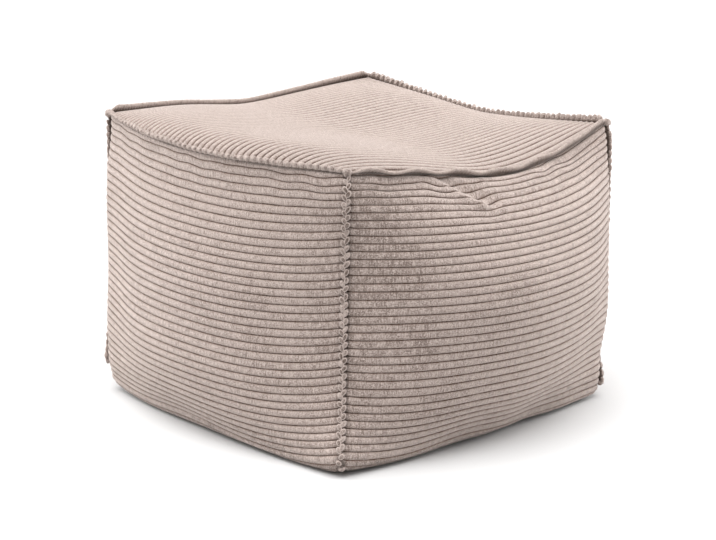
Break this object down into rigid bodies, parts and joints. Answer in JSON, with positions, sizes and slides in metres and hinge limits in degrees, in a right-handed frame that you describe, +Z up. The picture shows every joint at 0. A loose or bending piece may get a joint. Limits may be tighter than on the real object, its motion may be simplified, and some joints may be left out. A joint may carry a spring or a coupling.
{
  "type": "square corduroy pouf",
  "caption": "Filled square footstool in wide-wale corduroy with bulging sides, a sagging crowned top, a flat base and raised outside seams",
  "frame": {"origin": "on the floor under the middle of the whole pouf's box", "axes": "+Z up; the four upright panels face -X, -Y, +X and +Y; the top panel's wales run along X; the pictured corner points along -X -Y"},
  "size_m": [0.5606, 0.5946, 0.3579],
  "materials": {
    "corduroy": "wide-wale cotton corduroy, matt velvet nap, warm beige-taupe",
    "overlocked_edge": "cut corduroy edge under overlock thread, matt",
    "rolled_edge": "corduroy edge with its wale along the seam, matt velvet nap"
  },
  "bodies": {
    "root": {"cushion_body": "corduroy", "corner_seam_near": "overlocked_edge", "corner_seam_right": "overlocked_edge", "corner_seam_back": "overlocked_edge", "corner_seam_left": "overlocked_edge", "top_seam_left_front": "overlocked_edge", "top_seam_right_front": "rolled_edge", "top_seam_right_back": "overlocked_edge", "top_seam_left_back": "rolled_edge"}
  },
  "joints": []
}
